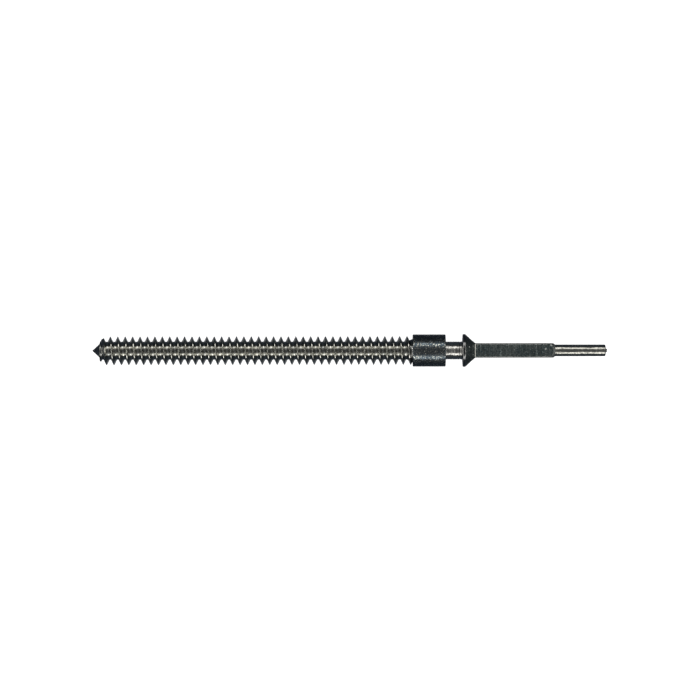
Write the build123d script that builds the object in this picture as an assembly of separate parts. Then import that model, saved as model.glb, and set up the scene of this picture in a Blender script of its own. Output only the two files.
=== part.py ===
from build123d import *
import os
from math import radians, tan

# A watch's winding stem, turned, threaded and milled from one steel bar, in millimetres.
# The axis lies along X. The threaded end that carries the crown points to -X and the
# pilot that runs inside the movement points to +X. The origin is on the axis, at the
# middle of the journal that turns in the main plate.

# Crown thread: right-handed, cut to length at its tip
thread_length = 9.49
thread_pitch = 0.225
thread_crest_diameter = 0.87
thread_flank_degrees = 25
crest_flat_share = 0.08
root_flat_share = 0.257
crest_to_shoulder = 0.17
lead_face_above_root = 0.045
lead_degrees = 30
runout_length = 0.18
runout_depth_share = 0.5
turns_in_stretch = 5

# Pointed tip before the thread
tip_cone_below_root = 0.055
tip_cone_degrees = 43.2

# Journal in the main plate, a shoulder larger than the thread
shoulder_height = 0.055
journal_length = 1.0
journal_edge_radius = 0.02

# Groove for the setting lever, square to the axis on the journal's side
neck_diameter = 0.54
neck_length = 0.495
neck_fillet_radius = 0.025
collar_wall_degrees = 5

# Collar between the groove and the square
collar_diameter = 1.0
collar_rim_width = 0.08
collar_edge_radius = 0.02
collar_cone_degrees = 43.2

# Square that drives the clutch wheel
square_length = 2.425
square_across_flats = 0.44
square_across_corners = 0.578
square_foot_degrees = 45
square_foot_radius = 0.03
square_end_degrees = 40
corner_turning_allowance = 0.006

# Pilot that runs in the plate's inner hole, and the tapered pip left by parting off
pilot_diameter = 0.36
pilot_length = 1.535
pilot_edge_radius = 0.04
pip_base_diameter = 0.12
pip_end_diameter = 0.1
pip_length = 0.043

# How far a cutting shape runs past what it cuts
overrun = 0.05

# Radii that the sections share
crest_radius = thread_crest_diameter / 2
thread_depth = thread_pitch * (1 - crest_flat_share - root_flat_share) / (2 * tan(radians(thread_flank_degrees)))
root_radius = crest_radius - thread_depth
lead_face_radius = root_radius + lead_face_above_root
tip_cone_radius = root_radius - tip_cone_below_root
journal_radius = crest_radius + shoulder_height
neck_radius = neck_diameter / 2
collar_radius = collar_diameter / 2
flat_height = square_across_flats / 2
corner_height = square_across_corners / 2
turned_corner_radius = corner_height + corner_turning_allowance
pilot_radius = pilot_diameter / 2

# Places along the axis, from the tip to the pilot's end
shoulder_x = -journal_length / 2
thread_face_x = shoulder_x - thread_length
tip_x = thread_face_x - tip_cone_radius / tan(radians(tip_cone_degrees))
neck_start_x = journal_length / 2
neck_end_x = neck_start_x + neck_length
rim_start_x = neck_end_x + (collar_radius - neck_radius) * tan(radians(collar_wall_degrees))
rim_end_x = rim_start_x + collar_rim_width
cone_length = (collar_radius - flat_height) / tan(radians(collar_cone_degrees))
square_foot_x = rim_end_x + cone_length
square_end_x = square_foot_x + square_length
pilot_end_x = square_end_x + pilot_length
pip_end_x = pilot_end_x + pip_length


def turned(points, rounded=()):
    # A closed outline of (place along the axis, radius) points, some corners rounded, turned about X
    outline = make_face(Polyline(*points, close=True))
    for point, radius in rounded:
        corner = outline.vertices().sort_by_distance((*point, 0))[0]
        outline = fillet(corner, radius)
    return revolve(outline, axis=Axis.X)


def thread_groove():
    # The helical space between the turns of one stretch of thread, with a turn more at
    # each end. It starts on the +Z side. Its flanks go on above the crest, half of the way
    # to where they would meet those of the next turn.
    flank_slope = tan(radians(thread_flank_degrees))
    half_root = thread_pitch * root_flat_share / 2
    height = thread_depth + thread_pitch * crest_flat_share / 4 / flank_slope
    half_mouth = half_root + height * flank_slope
    section_points = [(-half_root, 0), (half_root, 0), (half_mouth, height), (-half_mouth, height)]
    path = Helix(
        thread_pitch,
        (turns_in_stretch + 2) * thread_pitch,
        root_radius,
        center=(-thread_pitch, 0, 0),
        direction=(1, 0, 0),
    )
    section_plane = Plane(origin=path @ 0, x_dir=(1, 0, 0), z_dir=(0, -1, 0))
    section = section_plane * Polygon(*section_points, align=None)
    return sweep(section, path=path, is_frenet=True)


def lead_envelope():
    # What the turned lead chamfer leaves of the bar: its face, the chamfer and all the rest
    outer_radius = crest_radius + overrun
    lead_length = (outer_radius - lead_face_radius) / tan(radians(lead_degrees))
    return turned(
        [
            (thread_face_x, 0),
            (thread_face_x, lead_face_radius),
            (thread_face_x + lead_length, outer_radius),
            (shoulder_x + 2 * overrun, outer_radius),
            (shoulder_x + 2 * overrun, 0),
        ]
    )


def threaded_bar():
    # The thread, from its face to a little way into the journal. It is laid end to end in
    # stretches of whole turns, counted back from the journal, and turned until the last
    # crest on the +Y side is at its place before the shoulder.
    stretch_length = turns_in_stretch * thread_pitch
    bar = Plane.YZ * Cylinder(crest_radius, stretch_length, align=(Align.CENTER, Align.CENTER, Align.MIN))
    stretch = bar - thread_groove()
    count = int((thread_length + overrun) / stretch_length) + 1
    stretches = [Pos(X=shoulder_x + overrun - (i + 1) * stretch_length) * stretch for i in range(count)]
    turn_degrees = 360 * ((crest_to_shoulder + overrun) / thread_pitch + 1 / 4)
    return Rot(X=turn_degrees) * (stretches[0] + stretches[1:]) & lead_envelope()


def pointed_tip():
    # The cone at the free end, with a stub inside the thread's core
    stub_x = thread_face_x + tip_cone_radius
    return turned([(tip_x, 0), (thread_face_x, tip_cone_radius), (stub_x, tip_cone_radius), (stub_x, 0)])


def inner_end():
    # Everything from the thread's runout to the pip, as turned and before the square is
    # milled. The runout's cone starts inside the thread's core.
    runout_radius = crest_radius - thread_depth * runout_depth_share
    runout_slope = (runout_radius - root_radius) / runout_length
    core_radius = root_radius / 2
    core_x = shoulder_x - (runout_radius - core_radius) / runout_slope
    square_turned_x = rim_end_x + (collar_radius - turned_corner_radius) / tan(radians(collar_cone_degrees))
    chamfer_x = square_end_x - (turned_corner_radius - pilot_radius) / tan(radians(square_end_degrees))
    journal_outer = (shoulder_x, journal_radius)
    journal_inner = (neck_start_x, journal_radius)
    neck_start = (neck_start_x, neck_radius)
    neck_end = (neck_end_x, neck_radius)
    rim_start = (rim_start_x, collar_radius)
    rim_end = (rim_end_x, collar_radius)
    pilot_end = (pilot_end_x, pilot_radius)
    return turned(
        [
            (core_x, 0),
            (core_x, core_radius),
            (shoulder_x, runout_radius),
            journal_outer,
            journal_inner,
            neck_start,
            neck_end,
            rim_start,
            rim_end,
            (square_turned_x, turned_corner_radius),
            (chamfer_x, turned_corner_radius),
            (square_end_x, pilot_radius),
            pilot_end,
            (pilot_end_x, pip_base_diameter / 2),
            (pip_end_x, pip_end_diameter / 2),
            (pip_end_x, 0),
        ],
        rounded=[
            (journal_outer, journal_edge_radius),
            (journal_inner, journal_edge_radius),
            (neck_start, neck_fillet_radius),
            (neck_end, neck_fillet_radius),
            (rim_start, collar_edge_radius),
            (rim_end, collar_edge_radius),
            (pilot_end, pilot_edge_radius),
        ],
    )


def milling_cut(height):
    # What a cutter takes off above one flat: level over the square and the pilot, with a
    # rounded foot and a slope that climbs out over the collar's cone
    rise = collar_radius - height + overrun
    run = rise / tan(radians(square_foot_degrees))
    foot = (square_foot_x, height)
    outline = Plane.XZ * make_face(
        Polyline(
            foot,
            (pip_end_x + overrun, height),
            (pip_end_x + overrun, height + rise),
            (square_foot_x - run, height + rise),
            close=True,
        )
    )
    corner = outline.vertices().sort_by_distance((square_foot_x, 0, height))[0]
    return extrude(fillet(corner, square_foot_radius), amount=collar_radius, both=True)


def winding_stem():
    square_cuts = [Rot(X=90 * turn) * milling_cut(flat_height) for turn in range(4)]
    corner_cuts = [Rot(X=90 * turn + 45) * milling_cut(corner_height) for turn in range(4)]
    milled = inner_end() - square_cuts - corner_cuts
    return threaded_bar() + pointed_tip() + milled


stem = winding_stem()
os.makedirs("parts", exist_ok=True)
export_step(stem, "parts/winding_stem.step")
print("tip to pip", round(pip_end_x - tip_x, 3), "mm, thread root diameter", round(2 * root_radius, 3), "mm")
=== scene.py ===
from math import atan2, inf, pi, radians, sin, tan

import bmesh
import bpy
from mathutils import Matrix, Vector


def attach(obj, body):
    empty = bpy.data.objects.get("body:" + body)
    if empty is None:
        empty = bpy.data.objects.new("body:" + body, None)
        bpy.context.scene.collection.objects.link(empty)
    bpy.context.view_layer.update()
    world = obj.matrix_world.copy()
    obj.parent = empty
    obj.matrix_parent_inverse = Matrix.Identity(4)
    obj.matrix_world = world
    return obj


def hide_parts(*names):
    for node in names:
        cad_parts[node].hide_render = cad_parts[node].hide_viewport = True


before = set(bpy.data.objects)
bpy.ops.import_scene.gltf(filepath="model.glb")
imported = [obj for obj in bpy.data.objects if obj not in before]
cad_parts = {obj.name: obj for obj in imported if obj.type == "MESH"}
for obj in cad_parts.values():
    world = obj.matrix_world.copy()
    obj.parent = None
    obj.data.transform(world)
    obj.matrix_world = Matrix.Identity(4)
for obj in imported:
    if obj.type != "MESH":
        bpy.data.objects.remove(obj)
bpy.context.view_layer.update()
print("frame loaded:", sorted(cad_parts))

# A watch's winding stem. It is modelled in millimetres and brought to metres at the end.
# The axis is X: threaded tip at -X, pilot at +X, one flat of the square faces +Z.
toMetres = 0.001
micron = toMetres / 1000

samePlace = 1e-6     # points nearer than this are one
onPlane = 1e-5       # how near a point lies to a plane that it counts as on
sharpAngle = 32      # edges that turn more than this stay crisp

thread = {
    "faceX": -9.99,
    "shoulderX": -0.5,
    "pitch": 0.225,
    "crestRadius": 0.435,
    "rootRadius": 0.275,
    "flankAngle": 25,
    "rootFlat": 0.058,
    "crestRounding": 0.003,
    "crestSegments": 2,
    "rootRounding": 0.022,
    "rootSegments": 4,
    "flankCuts": 2,
    "lastCrest": 0.17,      # from the shoulder to the nearest crest on the +Y side
    "leadFaceRadius": 0.32,
    "leadAngle": 30,
    "leastLeadRadius": 0.05,     # keeps what lies before the face from turning inside out
    "runoutLength": 0.18,
    "runoutRadius": 0.355,
    "pastShoulder": 0.05,   # how far beyond the shoulder the lead and runout are worked out
    "stepsPerTurn": 72,
    "turnsBeforeFace": 2,   # cut off again at the face, as are the spare ones past the shoulder
    "spareTurns": 3,
    "seam": 2e-4,           # how far the ends of two turns may lie apart and still be joined
}

tipCone = {"baseRadius": 0.22, "angle": 43.2, "segments": 72}

innerEnd = {
    "journalRadius": 0.49,
    "journalEndX": 0.5,
    "journalEdge": 0.02,
    "shoulderHole": 0.01,   # how much wider than the crests the hole in the shoulder's face is
    "neckRadius": 0.27,
    "neckEndX": 0.995,
    "neckFillet": 0.025,
    "neckRings": ((0.0033, 0.0745), (0.0012, 0.118)),     # depth and spacing of the tool marks
    "neckCuts": 52,
    "collarRadius": 0.4999,
    "rimStartX": 1.0151,
    "rimEndX": 1.0951,
    "collarEdge": 0.02,
    "collarConeAngle": 43.2,
    "turnedCornerRadius": 0.295,
    "squareEndX": 3.8183,
    "squareEndAngle": 40,
    "pilotRadius": 0.18,
    "pilotEndX": 5.3533,
    "pilotEdge": 0.04,
    "pipBaseRadius": 0.06,
    "pipEndRadius": 0.05,
    "pipEndX": 5.3962,
    "pipEdge": 0.008,
    "segments": 128,
}

square = {
    "flatHeight": 0.22,
    "cornerHeight": 0.289,
    "footX": 1.3933,
    "footAngle": 45,
    "footRounding": 0.03,
    "footSegments": 5,
    "edgeRounding": 0.012,
    "edgeSegments": 3,
    "edgeTurns": (35, 55),      # degrees between the faces at a long edge, 45 when exact
    "cutterRise": 0.35,
    "cutterWidth": 1.2,
    "cutterOverrun": 0.1,
}


def chainOfPoints(bm, points):
    # a few vertices joined by edges: the outline that a lathe would follow
    verts = [bm.verts.new((x, 0, r)) for x, r in points]
    for a, b in zip(verts, verts[1:]):
        bm.edges.new((a, b))
    return verts


def roundCorners(bm, verts, radius, segments):
    # a vertex bevel cuts back by the tangent length, which depends on the corner's angle
    for v in verts:
        a, b = [(e.other_vert(v).co - v.co).normalized() for e in v.link_edges]
        reach = radius / tan(a.angle(b) / 2)
        bmesh.ops.bevel(bm, geom=[v], affect="VERTICES", offset=reach, offset_type="OFFSET",
                        segments=segments, profile=0.5, material=-1)


def onlyVerts(geom):
    return [g for g in geom if isinstance(g, bmesh.types.BMVert)]


def spinFull(bm, segments):
    bmesh.ops.spin(bm, geom=bm.verts[:] + bm.edges[:], cent=(0, 0, 0), axis=(1, 0, 0),
                   angle=2 * pi, steps=segments, use_merge=True)
    bmesh.ops.remove_doubles(bm, verts=bm.verts, dist=samePlace)


def openLoopAt(bm, x):
    return [e for e in bm.edges if len(e.link_faces) == 1
            and all(abs(v.co.x - x) < onPlane for v in e.verts)]


def fillRing(bm, x):
    # the flat ring left open between two round edges at x, facing the tip
    bmesh.ops.triangle_fill(bm, use_beauty=True, use_dissolve=False,
                            edges=openLoopAt(bm, x), normal=(-1, 0, 0))


def buildThread(bm):
    t = thread
    halfRoot = t["rootFlat"] / 2
    depth = t["crestRadius"] - t["rootRadius"]
    flank = depth * tan(radians(t["flankAngle"]))
    start = t["faceX"] - t["turnsBeforeFace"] * t["pitch"]
    # one pitch of the profile, from the middle of a root to the middle of the next
    profile = [(0, t["rootRadius"]), (halfRoot, t["rootRadius"]),
               (halfRoot + flank, t["crestRadius"]),
               (t["pitch"] - halfRoot - flank, t["crestRadius"]),
               (t["pitch"] - halfRoot, t["rootRadius"]), (t["pitch"], t["rootRadius"])]
    verts = chainOfPoints(bm, [(start + x, r) for x, r in profile])
    rootCorners, crestCorners = [verts[1], verts[4]], [verts[2], verts[3]]
    roundCorners(bm, rootCorners, t["rootRounding"], t["rootSegments"])
    roundCorners(bm, crestCorners, t["crestRounding"], t["crestSegments"])
    flanks = [e for e in bm.edges if abs(e.verts[0].co.z - e.verts[1].co.z) > depth / 2]
    bmesh.ops.subdivide_edges(bm, edges=flanks, cuts=t["flankCuts"])
    # the profile starts on the +Z side; at +Y, a quarter turn on, a crest lies lastCrest
    # from the shoulder
    crestAtStart = start + t["pitch"] / 2
    quarterTurn = t["pitch"] / 4
    lag = (t["shoulderX"] - t["lastCrest"] - crestAtStart + quarterTurn) / t["pitch"]
    bmesh.ops.rotate(bm, verts=bm.verts, cent=(0, 0, 0),
                     matrix=Matrix.Rotation(-2 * pi * (lag % 1), 3, "X"))
    # one turn of a right-hand screw, then copies of it end to end
    bmesh.ops.spin(bm, geom=bm.verts[:] + bm.edges[:], cent=(0, 0, 0), axis=(1, 0, 0),
                   dvec=(t["pitch"] / t["stepsPerTurn"], 0, 0), angle=2 * pi,
                   steps=t["stepsPerTurn"])
    oneTurn = bm.verts[:] + bm.edges[:] + bm.faces[:]
    turns = int((t["shoulderX"] - start) / t["pitch"]) + t["spareTurns"]
    for i in range(1, turns):
        copied = bmesh.ops.duplicate(bm, geom=oneTurn)["geom"]
        bmesh.ops.translate(bm, verts=onlyVerts(copied), vec=(i * t["pitch"], 0, 0))
    bmesh.ops.remove_doubles(bm, verts=bm.verts, dist=t["seam"])
    # lead chamfer at the face and a shallower root at the shoulder
    leadSlope = tan(radians(t["leadAngle"]))
    runoutSlope = (t["runoutRadius"] - t["rootRadius"]) / t["runoutLength"]
    for v in bm.verts:
        if v.co.x > t["shoulderX"] + t["pastShoulder"]:
            continue
        radius = Vector((0, v.co.y, v.co.z)).length
        lead = max(t["leadFaceRadius"] + (v.co.x - t["faceX"]) * leadSlope, t["leastLeadRadius"])
        runout = t["runoutRadius"] + (v.co.x - t["shoulderX"]) * runoutSlope
        target = min(max(radius, runout), lead)
        v.co.y *= target / radius
        v.co.z *= target / radius
    for x, side in ((t["faceX"], -1), (t["shoulderX"], 1)):
        bmesh.ops.bisect_plane(bm, geom=bm.verts[:] + bm.edges[:] + bm.faces[:],
                               dist=samePlace, plane_co=(x, 0, 0), plane_no=(side, 0, 0),
                               clear_outer=True)


def buildTip(bm):
    # the cone before the thread's face, open where it meets it
    t = tipCone
    tipX = thread["faceX"] - t["baseRadius"] / tan(radians(t["angle"]))
    chainOfPoints(bm, [(tipX, 0), (thread["faceX"], t["baseRadius"])])
    spinFull(bm, t["segments"])


def buildInnerEnd(bm):
    # journal, neck, collar, the bar that the square is milled from, pilot and pip
    n = innerEnd
    coneSlope = tan(radians(n["collarConeAngle"]))
    chamferSlope = tan(radians(n["squareEndAngle"]))
    squareTurnedX = n["rimEndX"] + (n["collarRadius"] - n["turnedCornerRadius"]) / coneSlope
    chamferX = n["squareEndX"] - (n["turnedCornerRadius"] - n["pilotRadius"]) / chamferSlope
    (_, journalStart, journalEnd, neckStart, neckEnd, rimStart, rimEnd,
     _, _, _, pilotEnd, _, pipEnd, _) = chainOfPoints(bm, [
        (thread["shoulderX"], thread["crestRadius"] + n["shoulderHole"]),
        (thread["shoulderX"], n["journalRadius"]),
        (n["journalEndX"], n["journalRadius"]),
        (n["journalEndX"], n["neckRadius"]),
        (n["neckEndX"], n["neckRadius"]),
        (n["rimStartX"], n["collarRadius"]),
        (n["rimEndX"], n["collarRadius"]),
        (squareTurnedX, n["turnedCornerRadius"]),
        (chamferX, n["turnedCornerRadius"]),
        (n["squareEndX"], n["pilotRadius"]),
        (n["pilotEndX"], n["pilotRadius"]),
        (n["pilotEndX"], n["pipBaseRadius"]),
        (n["pipEndX"], n["pipEndRadius"]),
        (n["pipEndX"], 0),
    ])
    for corners, radius, segments in (
            ([journalStart, journalEnd], n["journalEdge"], 5),
            ([neckStart, neckEnd], n["neckFillet"], 4),
            ([rimStart, rimEnd], n["collarEdge"], 4),
            ([pilotEnd], n["pilotEdge"], 6),
            ([pipEnd], n["pipEdge"], 2)):
        roundCorners(bm, corners, radius, segments)
    # the lathe tool's feed marks round the neck
    plain = [e for e in bm.edges if all(abs(v.co.z - n["neckRadius"]) < samePlace for v in e.verts)]
    marked = bmesh.ops.subdivide_edges(bm, edges=plain, cuts=n["neckCuts"])["geom_inner"]
    for v in onlyVerts(marked):
        along = v.co.x - n["journalEndX"]
        v.co.z += sum(depth * sin(2 * pi * along / spacing) for depth, spacing in n["neckRings"])
    spinFull(bm, n["segments"])


def buildInnerEndBlank(bm):
    # the lathe work, closed with a disc so that it can be milled
    buildInnerEnd(bm)
    bmesh.ops.contextual_create(bm, geom=openLoopAt(bm, thread["shoulderX"]))


def objectFrom(name, build):
    mesh = bpy.data.meshes.new(name)
    bm = bmesh.new()
    build(bm)
    bmesh.ops.recalc_face_normals(bm, faces=bm.faces)
    bm.to_mesh(mesh)
    bm.free()
    obj = bpy.data.objects.new(name, mesh)
    bpy.context.scene.collection.objects.link(obj)
    return obj


def millingCutter(name, height, turn):
    # what a cutter takes off above one flat: level past the pilot, and a slope out over the cone
    def build(bm):
        s = square
        top = height + s["cutterRise"]
        slopeTopX = s["footX"] - s["cutterRise"] / tan(radians(s["footAngle"]))
        farX = innerEnd["pipEndX"] + s["cutterOverrun"]
        side = -s["cutterWidth"] / 2
        outline = ((s["footX"], height), (farX, height), (farX, top), (slopeTopX, top))
        verts = [bm.verts.new((x, side, z)) for x, z in outline]
        for a, b in zip(verts, verts[1:] + verts[:1]):
            bm.edges.new((a, b))
        roundCorners(bm, [verts[0]], s["footRounding"], s["footSegments"])
        face = bmesh.ops.contextual_create(bm, geom=bm.edges[:])["faces"]
        extruded = bmesh.ops.extrude_face_region(bm, geom=face)["geom"]
        bmesh.ops.translate(bm, verts=onlyVerts(extruded), vec=(0, s["cutterWidth"], 0))
        bmesh.ops.rotate(bm, verts=bm.verts, cent=(0, 0, 0),
                         matrix=Matrix.Rotation(radians(turn), 3, "X"))
    return objectFrom(name, build)


def milledInnerEnd():
    # four flats and four broken corners, cut from the lathe work
    body = objectFrom("innerEndBlank", buildInnerEndBlank)
    cutters = [millingCutter("flatCutter%d" % i, square["flatHeight"], 90 * i) for i in range(4)]
    cutters += [millingCutter("cornerCutter%d" % i, square["cornerHeight"], 90 * i + 45)
                for i in range(4)]
    for c in cutters:
        cut = body.modifiers.new(c.name, "BOOLEAN")
        cut.operation, cut.solver, cut.object = "DIFFERENCE", "EXACT", c
    evaluated = body.evaluated_get(bpy.context.evaluated_depsgraph_get())
    mesh = bpy.data.meshes.new_from_object(evaluated)
    for o in [body] + cutters:
        bpy.data.objects.remove(o)
    return mesh


def openShoulder(bm):
    # takes away the disc that closed the journal's face
    disc = [f for f in bm.faces if abs(f.calc_center_median().x - thread["shoulderX"]) < onPlane
            and len(f.verts) == innerEnd["segments"]]
    bmesh.ops.delete(bm, geom=disc, context="FACES_ONLY")


def roundSquareEdges(bm):
    # the long edges where each flat meets its broken corners
    s = square
    least, most = [radians(a) for a in s["edgeTurns"]]
    squareLength = innerEnd["squareEndX"] - s["footX"]
    longEdges = [e for e in bm.edges if len(e.link_faces) == 2
                 and abs(e.verts[0].co.x - e.verts[1].co.x) > squareLength / 2
                 and min(v.co.x for v in e.verts) > s["footX"] - s["cutterOverrun"]
                 and least < e.calc_face_angle(0) < most]
    print("long edges rounded:", len(longEdges))
    bmesh.ops.bevel(bm, geom=longEdges, affect="EDGES", offset=s["edgeRounding"],
                    offset_type="OFFSET", segments=s["edgeSegments"], profile=0.5,
                    material=-1, clamp_overlap=True)


# What every finish starts from. Marks are per millimetre, heights in thousandths of a millimetre.
bareSteel = {
    "roughnessSpread": 0.10, "coat": 0.0, "coatIor": 1.5, "coatRoughness": 0.1,
    "speckRange": (0.66, 0.74), "nicksAndGlints": (), "streak": 0, "streakHeight": 0,
}

# Finishes in order along the stem, each up to its endX, then two pale ones for edges and crests
# wherever they lie, which are painted highlight.
# A nick is a small dent, painted pale and made smooth so that it shows a bright glint, a painted
# glint on a real dent: its place, its reach and its depth.
finishes = {
    "leadSteel": {
        **bareSteel, "endX": thread["faceX"] + 0.13,
        "colour": (0.44, 0.44, 0.42), "tint": (0.24, 0.25, 0.25), "speck": (0.7, 0.69, 0.66),
        "roughness": 0.12, "ringMarks": 9, "ringHeight": 6.0, "grain": 14, "grainHeight": 12.0,
    },
    "threadSteel": {
        **bareSteel, "endX": thread["shoulderX"] - 0.19,
        "colour": (0.68, 0.67, 0.62), "tint": (0.40, 0.41, 0.40), "speck": (0.9, 0.88, 0.8),
        "roughness": 0.09, "roughnessSpread": 0.08,
        "ringMarks": 9, "ringHeight": 4.0, "grain": 14, "grainHeight": 7.0,
    },
    "runoutSteel": {
        **bareSteel, "endX": thread["shoulderX"] + 0.0001,
        "colour": (0.36, 0.36, 0.35), "tint": (0.20, 0.21, 0.21), "speck": (0.7, 0.69, 0.66),
        "roughness": 0.16, "ringMarks": 9, "ringHeight": 8.0, "grain": 14, "grainHeight": 14.0,
    },
    "journalSteel": {
        **bareSteel, "endX": innerEnd["journalEndX"] + 0.014,
        "colour": (0.135, 0.165, 0.185), "tint": (0.02, 0.045, 0.075), "speck": (0.74, 0.74, 0.66),
        "speckRange": (0.55, 0.69), "roughness": 0.21, "roughnessSpread": 0.30,
        "coat": 0.5, "coatIor": 1.7, "coatRoughness": 0.5,
        "ringMarks": 14, "ringHeight": 3.0, "grain": 19, "grainHeight": 5.0,
        "streak": 12, "streakHeight": 1.0,
    },
    "neckSteel": {
        **bareSteel, "endX": innerEnd["neckEndX"] - 0.012,
        "colour": (0.66, 0.65, 0.63), "tint": (0.48, 0.47, 0.45), "speck": (0.8, 0.79, 0.76),
        "roughness": 0.12, "roughnessSpread": 0.08,
        "ringMarks": 18, "ringHeight": 12.0, "grain": 14, "grainHeight": 7.0,
    },
    "rimSteel": {
        **bareSteel, "endX": innerEnd["rimEndX"] + 0.004,
        "colour": (0.26, 0.26, 0.27), "tint": (0.15, 0.15, 0.16), "speck": (0.4, 0.4, 0.4),
        "roughness": 0.14, "roughnessSpread": 0.08, "coat": 0.3, "coatRoughness": 0.06,
        "ringMarks": 12, "ringHeight": 4.0, "grain": 14, "grainHeight": 8.0,
    },
    "coneSteel": {
        **bareSteel, "endX": square["footX"] + 0.004,
        "colour": (0.14, 0.16, 0.16), "tint": (0.038, 0.053, 0.053), "speck": (0.4, 0.42, 0.4),
        "nicksAndGlints": ((1.205, 0.105, 0.383, 0.035, 14),),
        "roughness": 0.55, "roughnessSpread": 0.14,
        "coat": 0.4, "coatIor": 1.6, "coatRoughness": 0.08,
        "ringMarks": 12, "ringHeight": 8.0, "grain": 13, "grainHeight": 20.0,
    },
    "squareSteel": {
        **bareSteel, "endX": innerEnd["squareEndX"] - 0.14,
        "colour": (0.19, 0.215, 0.21), "tint": (0.03, 0.055, 0.065), "speck": (0.4, 0.42, 0.4),
        "nicksAndGlints": ((3.529, 0.044, 0.22, 0.035, 14), (3.70, 0.162, 0.22, 0.035, 14)),
        "roughness": 0.36, "roughnessSpread": 0.14,
        "coat": 0.6, "coatIor": 1.6, "coatRoughness": 0.07,
        "ringMarks": 16, "ringHeight": 22.0, "grain": 18, "grainHeight": 14.0,
        "streak": 10, "streakHeight": 3.0,
    },
    "bevelSteel": {
        **bareSteel, "endX": innerEnd["squareEndX"] - 0.001,
        "colour": (0.62, 0.64, 0.62), "tint": (0.20, 0.22, 0.22), "speck": (0.8, 0.8, 0.78),
        "roughness": 0.55, "roughnessSpread": 0.14,
        "ringMarks": 11, "ringHeight": 14.0, "grain": 12, "grainHeight": 16.0,
    },
    "pilotSteel": {
        **bareSteel, "endX": innerEnd["pilotEndX"] - 0.03,
        "colour": (0.68, 0.67, 0.62), "tint": (0.50, 0.50, 0.46), "speck": (0.8, 0.79, 0.74),
        "roughness": 0.12, "roughnessSpread": 0.08,
        "ringMarks": 9, "ringHeight": 22.0, "grain": 14, "grainHeight": 7.0,
        "streak": 14, "streakHeight": 3.0,
    },
    # darker than the pilot, so that its rounded end and pip throw back little of the ring light:
    # painted shade
    "pipPaintedShade": {
        **bareSteel, "endX": inf,
        "colour": (0.24, 0.24, 0.23), "tint": (0.14, 0.14, 0.14), "speck": (0.4, 0.4, 0.38),
        "roughness": 0.24, "ringMarks": 12, "ringHeight": 8.0, "grain": 14, "grainHeight": 12.0,
    },
    # paler than the faces beside these edges, so that their highlight lines come out bright:
    # painted highlight
    "edgePaintedHighlight": {
        **bareSteel,
        "colour": (0.66, 0.67, 0.65), "tint": (0.12, 0.13, 0.13), "speck": (0.9, 0.9, 0.88),
        "roughness": 0.14, "ringMarks": 12, "ringHeight": 8.0, "grain": 16, "grainHeight": 14.0,
    },
    # the palest steel, on the thread's crests and at the square's foot, makes their highlight lines
    # come out bright: painted highlight
    "crestPaintedHighlight": {
        **bareSteel,
        "colour": (0.95, 0.94, 0.88), "tint": (0.70, 0.69, 0.64), "speck": (0.95, 0.95, 0.9),
        "roughness": 0.10, "roughnessSpread": 0.06,
        "ringMarks": 9, "ringHeight": 3.0, "grain": 14, "grainHeight": 6.0,
    },
}

# Patterns that all finishes share. A shift moves each noise to a part of its own.
marks = {
    "acrossRings": 0.9,
    "alongStreaks": 1.5,
    "patches": 2.5,
    "fineToGrain": 1.3,
    "grainInTint": 0.7,
    "patchesInTint": 0.3,
    # painted glint in the nicks
    "nickGlintColour": (0.95, 0.95, 0.92),
    "nickRoughness": 0.1,
    "ringShift": 3, "grainShift": 11, "patchShift": 27, "streakShift": 41, "fineShift": 63,
}


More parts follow.
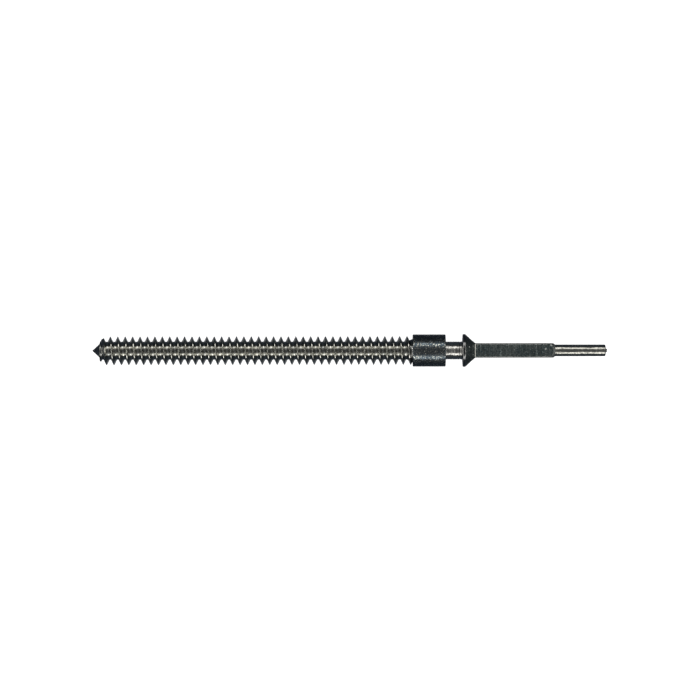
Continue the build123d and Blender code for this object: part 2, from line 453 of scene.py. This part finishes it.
def steelMaterial(name, f):
    mat = bpy.data.materials.new(name)
    mat.use_nodes = True
    nodes, links = mat.node_tree.nodes, mat.node_tree.links
    shader = nodes["Principled BSDF"]
    shader.inputs["Metallic"].default_value = 1
    shader.inputs["Coat Weight"].default_value = f["coat"]
    shader.inputs["Coat Roughness"].default_value = f["coatRoughness"]
    shader.inputs["Coat IOR"].default_value = f["coatIor"]
    place = nodes.new("ShaderNodeTexCoord")

    def pattern(scale, detail, shift):
        # a noise on object coordinates, stretched by a different scale along each axis
        mapping = nodes.new("ShaderNodeMapping")
        mapping.inputs["Scale"].default_value = [c / toMetres for c in scale]
        mapping.inputs["Location"].default_value = (shift, shift, shift)
        links.new(place.outputs["Object"], mapping.inputs["Vector"])
        noise = nodes.new("ShaderNodeTexNoise")
        noise.inputs["Scale"].default_value = 1
        noise.inputs["Detail"].default_value = detail
        links.new(mapping.outputs[0], noise.inputs["Vector"])
        return noise.outputs["Fac"]

    def scaled(value, low, high, fromLow=0.35, fromHigh=0.65):
        # a noise seldom leaves 0.35 to 0.65, so that stretch is spread over low to high
        fit = nodes.new("ShaderNodeMapRange")
        fit.inputs["From Min"].default_value = fromLow
        fit.inputs["From Max"].default_value = fromHigh
        fit.inputs["To Min"].default_value = low
        fit.inputs["To Max"].default_value = high
        links.new(value, fit.inputs["Value"])
        return fit.outputs[0]

    def plus(value, amount, other=None):
        # value times amount, added to the other
        node = nodes.new("ShaderNodeMath")
        node.operation = "MULTIPLY_ADD"
        node.inputs[1].default_value = amount
        node.inputs[2].default_value = 0
        links.new(value, node.inputs[0])
        if other is not None:
            links.new(other, node.inputs[2])
        return node.outputs[0]

    def blended(share, plain, colour):
        # a constant colour laid over another colour
        node = nodes.new("ShaderNodeMix")
        node.data_type = "RGBA"
        node.inputs["B"].default_value = (*colour, 1)
        links.new(share, node.inputs["Factor"])
        if isinstance(plain, tuple):
            node.inputs["A"].default_value = (*plain, 1)
        else:
            links.new(plain, node.inputs["A"])
        return node.outputs["Result"]

    def pit(x, y, z, reach):
        # 1 at a place on the surface, falling softly to 0 at its reach
        away = nodes.new("ShaderNodeVectorMath")
        away.operation = "DISTANCE"
        away.inputs[1].default_value = [c * toMetres for c in (x, y, z)]
        links.new(place.outputs["Object"], away.inputs[0])
        fall = nodes.new("ShaderNodeMapRange")
        fall.interpolation_type = "SMOOTHSTEP"
        fall.inputs["From Max"].default_value = reach * toMetres
        fall.inputs["To Min"].default_value = 1
        fall.inputs["To Max"].default_value = 0
        links.new(away.outputs["Value"], fall.inputs["Value"])
        return fall.outputs[0]

    m = marks
    rings = pattern((f["ringMarks"], m["acrossRings"], m["acrossRings"]), 2, m["ringShift"])
    grain = pattern((f["grain"],) * 3, 3, m["grainShift"])
    patches = pattern((m["patches"],) * 3, 2, m["patchShift"])
    height = plus(grain, f["grainHeight"], plus(rings, f["ringHeight"]))
    if f["streak"]:
        streaks = pattern((m["alongStreaks"], f["streak"], f["streak"]), 2, m["streakShift"])
        height = plus(streaks, f["streakHeight"], height)
    nicksAndGlints = None
    for x, y, z, reach, depth in f["nicksAndGlints"]:
        nick = pit(x, y, z, reach)
        height = plus(nick, -depth, height)
        nicksAndGlints = plus(nick, 1, nicksAndGlints)
    bump = nodes.new("ShaderNodeBump")
    bump.inputs["Strength"].default_value = 1
    bump.inputs["Distance"].default_value = micron
    links.new(height, bump.inputs["Height"])
    links.new(bump.outputs[0], shader.inputs["Normal"])
    links.new(bump.outputs[0], shader.inputs["Coat Normal"])
    cloud = plus(scaled(grain, 0, 1), m["grainInTint"], scaled(patches, 0, m["patchesInTint"]))
    colour = blended(cloud, f["colour"], f["tint"])
    # pale specks where a finer grain stands highest
    fine = pattern((f["grain"] * m["fineToGrain"],) * 3, 1, m["fineShift"])
    colour = blended(scaled(fine, 0, 1, *f["speckRange"]), colour, f["speck"])
    spread = f["roughnessSpread"] / 2
    roughness = scaled(grain, f["roughness"] - spread, f["roughness"] + spread)
    # the nicks are painted pale, a painted glint on the dents, and made smooth
    if nicksAndGlints is not None:
        colour = blended(nicksAndGlints, colour, m["nickGlintColour"])
        roughness = plus(nicksAndGlints, m["nickRoughness"] - f["roughness"], roughness)
    links.new(colour, shader.inputs["Base Color"])
    links.new(roughness, shader.inputs["Roughness"])
    return mat


# Where an edge or crest gets pale steel so that the ring light shows brighter along it, a painted
# highlight, as reaches from the edge itself
paintedHighlightReach = {
    "collarDepth": 0.018,
    "rimStartReach": (-0.01, 0.018),
    "rimEndReach": (-0.016, 0.012),
    "footReach": 0.013,
    "leastFootSlope": 0.01,
    "squareEdgeDepth": 0.02,
    "shortOfSquareEnd": 0.1,
    "crestDepth": 0.002,
}


# How far a milled face's normal may be off: level along X, sloped, and turned about X in eighths
milledSlack = {"level": 1e-4, "slope": 1e-3, "eighths": 0.002}


def isMilled(face, centre):
    # level faces and 45 degree slopes that face one of the eight ways of the cutter
    tilt = abs(face.normal.x)
    eighths = atan2(face.normal.y, face.normal.z) / radians(45)
    level = tilt < milledSlack["level"]
    sloped = abs(tilt - sin(radians(square["footAngle"]))) < milledSlack["slope"]
    facesCutter = abs(eighths - round(eighths)) < milledSlack["eighths"]
    return centre.x > innerEnd["rimEndX"] and (level or sloped) and facesCutter


def finishFor(face, centre):
    p, n, s = paintedHighlightReach, innerEnd, square
    offAxis = centre.yz.length
    # the crests get the palest steel, a painted highlight along them
    if centre.x < thread["shoulderX"] and abs(offAxis - thread["crestRadius"]) < p["crestDepth"]:
        return "crestPaintedHighlight"

    def near(x, reach):
        return reach[0] < centre.x - x < reach[1]

    onCollar = offAxis > n["collarRadius"] - p["collarDepth"] and (
        near(n["rimStartX"], p["rimStartReach"]) or near(n["rimEndX"], p["rimEndReach"]))
    nearFoot = abs(centre.x - s["footX"]) < p["footReach"]
    atFoot = nearFoot and face.normal.x > p["leastFootSlope"]
    height = max(abs(centre.y), abs(centre.z))
    alongSquare = (s["footX"] < centre.x < n["squareEndX"] - p["shortOfSquareEnd"]
                   and height > s["flatHeight"] - p["squareEdgeDepth"] and face.smooth)
    # rounded edges of the collar and the square and the square's foot get pale steel: painted
    # highlight
    if onCollar or atFoot or alongSquare:
        return "crestPaintedHighlight" if nearFoot else "edgePaintedHighlight"
    return next(name for name, f in finishes.items() if centre.x < f["endX"])


def buildStem():
    bm = bmesh.new()
    buildThread(bm)
    print("thread cut:", len(bm.faces), "faces")
    part = bmesh.new()
    buildTip(part)
    tip = bpy.data.meshes.new("tip")
    part.to_mesh(tip)
    part.free()
    bm.from_mesh(tip)
    fillRing(bm, thread["faceX"])
    inner = milledInnerEnd()
    part = bmesh.new()
    part.from_mesh(inner)
    openShoulder(part)
    roundSquareEdges(part)
    part.to_mesh(inner)
    part.free()
    bm.from_mesh(inner)
    fillRing(bm, thread["shoulderX"])
    bmesh.ops.remove_doubles(bm, verts=bm.verts, dist=onPlane)
    bmesh.ops.recalc_face_normals(bm, faces=bm.faces)
    openEdges = [e for e in bm.edges if len(e.link_faces) != 2]
    volume = round(bm.calc_volume(signed=True), 4)
    print("open or doubled edges:", len(openEdges), "volume", volume, "mm3")
    names = list(finishes)
    for f in bm.faces:
        centre = f.calc_center_median()
        f.smooth = not isMilled(f, centre)
        f.material_index = names.index(finishFor(f, centre))
    bmesh.ops.scale(bm, vec=(toMetres,) * 3, verts=bm.verts)
    mesh = bpy.data.meshes.new("windingStem")
    bm.to_mesh(mesh)
    bm.free()
    mesh.set_sharp_from_angle(angle=radians(sharpAngle))
    obj = bpy.data.objects.new("windingStem", mesh)
    bpy.context.scene.collection.objects.link(obj)
    for name, f in finishes.items():
        mesh.materials.append(steelMaterial(name, f))
    return obj


stem = buildStem()
print("stem built:", len(stem.data.polygons), "faces")

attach(stem, "root")
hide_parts("winding_stem")

# The stage is in metres.
card = {"halfWidth": 2.0, "height": -0.0005, "white": 0.92, "glow": 0.9}

studio = {
    "leanAngle": 4,         # the ring of light leans toward -Y
    "nearStrength": 2.15,   # and is a little stronger there, as when one lamp stands nearer
    "farStrength": 1.75,
    # share of the way from straight below to straight above, and the colour there
    "ramp": (
        (0.0, (0.15, 0.155, 0.165)), (0.04, (0.12, 0.125, 0.135)), (0.09, (0.022, 0.027, 0.034)),
        (0.45, (0.016, 0.021, 0.027)), (0.58, (0.022, 0.025, 0.027)), (0.75, (0.04, 0.042, 0.044)),
        (0.785, (1.0, 0.99, 0.95)), (0.84, (1.0, 0.99, 0.95)), (0.89, (0.30, 0.297, 0.285)),
        (0.95, (0.055, 0.056, 0.056)), (1.0, (0.043, 0.046, 0.047))),
}

view = {
    "lens": 200,
    "sensorWidth": 36,
    "fieldWidth": 0.02124,
    "middle": (-0.0024, 0.0000165),
    "roll": -0.045,
    "clip": (0.001, 10),
}


def buildFloor():
    mesh = bpy.data.meshes.new("floor")
    bm = bmesh.new()
    bmesh.ops.create_grid(bm, x_segments=1, y_segments=1, size=card["halfWidth"])
    bmesh.ops.translate(bm, verts=bm.verts, vec=(0, 0, card["height"]))
    bm.to_mesh(mesh)
    bm.free()
    floor = bpy.data.objects.new("floor", mesh)
    bpy.context.scene.collection.objects.link(floor)
    mat = bpy.data.materials.new("paleCard")
    mat.use_nodes = True
    shader = mat.node_tree.nodes["Principled BSDF"]
    shader.inputs["Base Color"].default_value = (*(card["white"],) * 3, 1)
    shader.inputs["Roughness"].default_value = 1
    shader.inputs["Specular IOR Level"].default_value = 0
    shader.inputs["Emission Color"].default_value = (1, 1, 1, 1)
    shader.inputs["Emission Strength"].default_value = card["glow"]
    mesh.materials.append(mat)
    floor.visible_glossy = False


def buildLight():
    world = bpy.data.worlds.new("studio")
    bpy.context.scene.world = world
    world.use_nodes = True
    nodes, links = world.node_tree.nodes, world.node_tree.links
    nodes.clear()
    place = nodes.new("ShaderNodeTexCoord")
    leaning = nodes.new("ShaderNodeMapping")
    leaning.vector_type = "TEXTURE"
    leaning.inputs["Rotation"].default_value = (radians(studio["leanAngle"]), 0, 0)
    links.new(place.outputs["Generated"], leaning.inputs["Vector"])
    split = nodes.new("ShaderNodeSeparateXYZ")
    links.new(leaning.outputs[0], split.inputs[0])
    toShare = nodes.new("ShaderNodeMapRange")
    toShare.inputs["From Min"].default_value = -1
    links.new(split.outputs["Z"], toShare.inputs["Value"])
    ramp = nodes.new("ShaderNodeValToRGB")
    links.new(toShare.outputs[0], ramp.inputs[0])
    elements = ramp.color_ramp.elements
    while len(elements) < len(studio["ramp"]):
        elements.new(0.5)
    for element, (share, colour) in zip(elements, studio["ramp"]):
        element.position = share
        element.color = (*colour, 1)
    ringLight = nodes.new("ShaderNodeBackground")
    strength = nodes.new("ShaderNodeMapRange")
    strength.inputs["From Min"].default_value = -1
    strength.inputs["To Min"].default_value = studio["nearStrength"]
    strength.inputs["To Max"].default_value = studio["farStrength"]
    links.new(split.outputs["Y"], strength.inputs["Value"])
    links.new(strength.outputs[0], ringLight.inputs["Strength"])
    links.new(ramp.outputs[0], ringLight.inputs["Color"])
    # the camera itself sees plain white behind the stem
    pale = nodes.new("ShaderNodeBackground")
    pale.inputs["Color"].default_value = (1, 1, 1, 1)
    path = nodes.new("ShaderNodeLightPath")
    mix = nodes.new("ShaderNodeMixShader")
    links.new(path.outputs["Is Camera Ray"], mix.inputs[0])
    links.new(ringLight.outputs[0], mix.inputs[1])
    links.new(pale.outputs[0], mix.inputs[2])
    out = nodes.new("ShaderNodeOutputWorld")
    links.new(mix.outputs[0], out.inputs[0])


def buildCamera():
    data = bpy.data.cameras.new("camera")
    data.lens = view["lens"]
    data.sensor_width = view["sensorWidth"]
    data.clip_start, data.clip_end = view["clip"]
    camera = bpy.data.objects.new("camera", data)
    bpy.context.scene.collection.objects.link(camera)
    distance = view["fieldWidth"] * view["lens"] / view["sensorWidth"]
    camera.location = (*view["middle"], distance)
    camera.rotation_euler = (0, 0, radians(view["roll"]))
    bpy.context.scene.camera = camera


buildFloor()
buildLight()
buildCamera()
bpy.context.scene.view_settings.view_transform = "Standard"
print("stage set")
